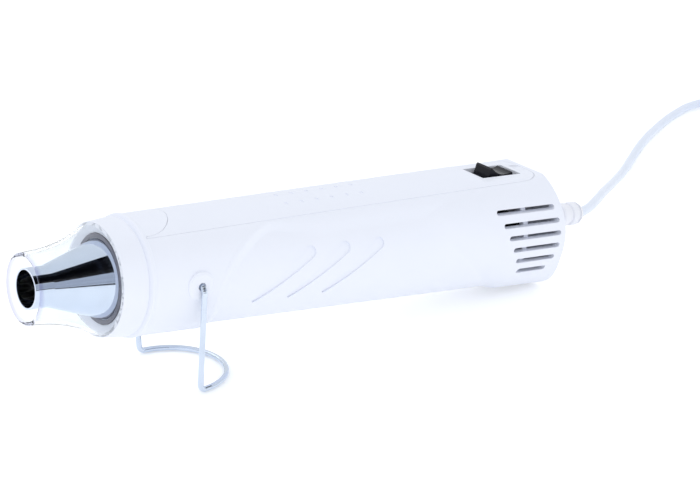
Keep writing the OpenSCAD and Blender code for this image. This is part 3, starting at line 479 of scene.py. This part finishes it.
shell = plastic("white_moulded", (0.862, 0.888, 0.97), (0.872, 0.898, 0.978), (0.42, 0.46),
                grain=900, bump=0.012, IOR=1.5)
sleeve = plastic("white_sleeve", (0.87, 0.88, 0.93), (0.9, 0.9, 0.95), (0.42, 0.55),
                 grain=1800, bump=0.08, edge=0.0003)
lead_skin = plastic("white_lead", (0.78, 0.84, 0.95), (0.82, 0.87, 0.98), (0.3, 0.42),
                    grain=1500, bump=0.05)
black = plastic("black_moulded", (0.01, 0.01, 0.013), (0.018, 0.018, 0.023), (0.4, 0.55),
                grain=1600, bump=0.15, edge=0.0003, Specular_IOR_Level=0.2)
rocker_skin = plastic("black_rocker", (0.006, 0.006, 0.01), (0.01, 0.01, 0.015), (0.12, 0.18),
                      grain=2200, bump=0.02, edge=0.0005, Specular_IOR_Level=0.18)
grey = plastic("grey_moulded", (0.55, 0.55, 0.58), (0.62, 0.62, 0.66), (0.45, 0.6),
               grain=1500, bump=0.1)
mica = plastic("mica_board", (0.5, 0.43, 0.28), (0.66, 0.6, 0.45), (0.35, 0.6),
               grain=700, bump=0.3)
brown = plastic("brown_tube", (0.12, 0.08, 0.05), (0.2, 0.14, 0.09), (0.5, 0.7),
                grain=900, bump=0.2)
board = plastic("circuit_board", (0.01, 0.09, 0.03), (0.015, 0.13, 0.045), (0.25, 0.4),
                grain=800, bump=0.1)
dark_parts = plastic("board_parts", (0.012, 0.014, 0.022), (0.03, 0.03, 0.04), (0.3, 0.45),
                     grain=900, bump=0.1)
wire_skin = plastic("wire_skin", (0.09, 0.1, 0.14), (0.14, 0.15, 0.2), (0.35, 0.5),
                    grain=900, bump=0.1)
chrome = metal("chrome_nozzle", (0.64, 0.70, 0.82), (0.68, 0.74, 0.86), (0.03, 0.09),
               grain=900, bump=0.02)
chrome_wire = metal("chrome_wire", (0.58, 0.65, 0.76), (0.68, 0.75, 0.85), (0.1, 0.2),
                    grain=500, bump=0.05)
steel = metal("bright_steel", (0.52, 0.53, 0.55), (0.64, 0.65, 0.68), (0.22, 0.36),
              grain=500, bump=0.08)
grey_ring = metal("grey_ring", (0.14, 0.14, 0.18), (0.19, 0.19, 0.235), (0.38, 0.52),
                  grain=700, bump=0.1, edge=0.0002, metallic=0.0)
heat_wire = metal("heating_wire", (0.28, 0.25, 0.23), (0.42, 0.39, 0.37), (0.4, 0.55),
                  grain=600, bump=0.2)
cutout_metal = metal("cutout_metal", (0.55, 0.55, 0.53), (0.7, 0.7, 0.68), (0.25, 0.4),
                     grain=500, bump=0.08)
brass = metal("terminal_brass", (0.55, 0.42, 0.2), (0.68, 0.54, 0.28), (0.2, 0.34),
              grain=500, bump=0.06)

# Clear plastic: painted shade makes it grey-lavender towards its outline, in place of the light that
# its edges bend and mirror
clear = Shader("clear_guard")
outline = clear.node("ShaderNodeLayerWeight", Blend=0.5).outputs["Facing"]
painted_edge_shade = clear.ramp(outline, [(0.0, (0.97, 0.99, 0.995)), (0.6, (0.96, 0.985, 0.995)),
                                 (0.85, (0.9, 0.94, 0.97)), (1.0, (0.76, 0.79, 0.88))])
# The rounded lip at the front is thicker, and painted grey-lavender shade stands in for the light it
# bends: told by its place along the axis
along = clear.node("ShaderNodeVectorMath", operation="DOT_PRODUCT")
along.inputs[1].default_value = tool_axis
clear.link(clear.coords, along.inputs[0])
lip_shade_mask = clear.node("ShaderNodeMapRange", interpolation_type="SMOOTHSTEP")
lip_at = placed(0, 0, 0).dot(tool_axis)
lip_shade_mask.inputs["From Min"].default_value = lip_at + LIP_SHADE_FULL
lip_shade_mask.inputs["From Max"].default_value = lip_at + LIP_SHADE_END
lip_shade_mask.inputs["To Min"].default_value = 1
lip_shade_mask.inputs["To Max"].default_value = 0
clear.link(along.outputs["Value"], lip_shade_mask.inputs["Value"])
# Painted grey-lavender shade of the lip, mixed over the painted edge shade
guard_shade = clear.node("ShaderNodeMix", data_type="RGBA")
guard_shade.inputs[MIX_B].default_value = (0.72, 0.72, 0.86, 1)
clear.link(lip_shade_mask.outputs["Result"], guard_shade.inputs[MIX_FACTOR])
clear.link(painted_edge_shade, guard_shade.inputs[MIX_A])
clear.link(guard_shade.outputs[MIX_RESULT], clear.bsdf.inputs["Base Color"])
clear.link(clear.span(clear.noise(180, 3), 0.0, 0.03), clear.bsdf.inputs["Roughness"])
clear.bump(clear.noise(500, 2), 0.02)
clear.set(Transmission_Weight=1.0, IOR=1.08, Coat_Weight=0.3, Coat_Roughness=0.04, Coat_IOR=1.5)

MATERIALS = {
    shell: ["left_shell", "right_shell", "top_panel", "front_collar"],
    sleeve: ["strain_relief"],
    lead_skin: ["plug_body", "power_cord", "cord_coil"],
    black: ["fan_wheel", "motor_cap", "switch_body", "cord_clamp", "cord_tie"],
    rocker_skin: ["rocker"],
    grey: ["motor_mount"],
    mica: ["heater_core", "mica_sleeve"],
    brown: ["air_duct"],
    board: ["rectifier_board"],
    dark_parts: ["board_parts"],
    wire_skin: ["inner_leads"],
    chrome: ["nozzle"],
    chrome_wire: ["wire_stand"],
    steel: ["motor_shaft", "motor_can", "clamp_screws", "housing_screws"],
    grey_ring: ["heat_shield_ring"],
    heat_wire: ["heater_coil"],
    cutout_metal: ["thermal_cutout"],
    brass: ["switch_terminals", "plug_pins"],
    clear: ["clear_guard"],
}


def dress(obj, shader):
    """Give an object this one material."""
    obj.data.materials.clear()
    obj.data.materials.append(shader.mat)


for shader, names in MATERIALS.items():
    for name in names:
        dress(nodes[name], shader)
dress(lead, lead_skin)
dress(shield_rim, grey_ring)
for piece in webs + slopes:
    dress(piece, shell)

# Light goes through the clear guard to what it covers
nodes["clear_guard"].visible_shadow = False
nodes["clear_guard"].visible_diffuse = False

# Floor: it glows a little, less for what it lights than for the eye, mirrors and clear plastic
floor = flat_square("floor", FLOOR_REACH)
floor.location = (0, 0, FLOOR_Z)
floor_skin = Shader("floor_white")
floor_tone = floor_skin.mottle(3, 2, (0.93, 0.94, 0.95), (0.96, 0.965, 0.97))
floor_skin.link(floor_tone, floor_skin.bsdf.inputs["Base Color"])
floor_skin.set(Roughness=0.75, Emission_Color=(1, 1, 1, 1))
path = floor_skin.node("ShaderNodeLightPath")
seen = floor_skin.node("ShaderNodeMath", operation="SUBTRACT")
seen.inputs[0].default_value = 1
floor_skin.link(path.outputs["Is Diffuse Ray"], seen.inputs[1])
floor_glow = floor_skin.span(seen.outputs[0], *FLOOR_GLOW)
floor_skin.link(floor_glow, floor_skin.bsdf.inputs["Emission Strength"])
floor_skin.mat.cycles.emission_sampling = "NONE"
dress(floor, floor_skin)

# World and lamps
world = bpy.data.worlds.new("studio")
scene.world = world
world.use_nodes = True
background = world.node_tree.nodes["Background"]
background.inputs["Color"].default_value = (0.95, 0.97, 1.0, 1)
background.inputs["Strength"].default_value = 0.93


def softbox(name, at, size, power, colour):
    """A rectangular lamp, aimed at the middle of the tool."""
    data = bpy.data.lights.new(name, "AREA")
    data.shape = "RECTANGLE"
    data.size, data.size_y = size
    data.energy = power
    data.color = colour
    obj = bpy.data.objects.new(name, data)
    scene.collection.objects.link(obj)
    obj.location = at
    obj.rotation_euler = (LAMP_AIM - Vector(at)).to_track_quat("-Z", "Y").to_euler()


softbox("light_back", (-0.5, 1.1, 1.0), (1.2, 0.8), 2, (0.97, 0.98, 1))
softbox("light_front", (-0.5, -1.3, 0.9), (1.4, 0.8), 2, (1, 1, 1))


def card(name, azimuth, low, high, width, tone):
    """A card between two elevations, seen by reflections and by what looks through the guard."""
    middle = math.radians((low + high) / 2)
    half = CARD_FAR * math.tan(math.radians((high - low) / 2))
    a = math.radians(azimuth)
    at = CARD_AIM + CARD_FAR * Vector((math.cos(a) * math.cos(middle),
                                       math.sin(a) * math.cos(middle), math.sin(middle)))
    obj = flat_square(name, 1)
    obj.location = at
    obj.rotation_euler = (CARD_AIM - at).to_track_quat("Z", "Y").to_euler()
    obj.scale = (width / 2, half, 1)
    obj.visible_camera = False
    obj.visible_diffuse = False
    obj.visible_shadow = False
    skin = Shader(name)
    lighter = tuple(v * 1.2 for v in tone)
    skin.link(skin.mottle(2, 2, tone, lighter), skin.bsdf.inputs["Emission Color"])
    skin.set(Roughness=1.0, Specular_IOR_Level=0.0, Emission_Strength=1.0,
             Base_Color=(0, 0, 0, 1))
    skin.mat.cycles.emission_sampling = "NONE"
    dress(obj, skin)


# A black card up high, a grey one below it, and a thin dark one just above the floor
card("card_black", -84, 34, 84, 2.6, (0.002, 0.002, 0.003))
card("card_grey", -92, 6, 34, 2.4, (0.42, 0.45, 0.52))
card("card_line", -94, 1, 5, 2.4, (0.03, 0.03, 0.04))

scene.view_settings.view_transform = "Standard"
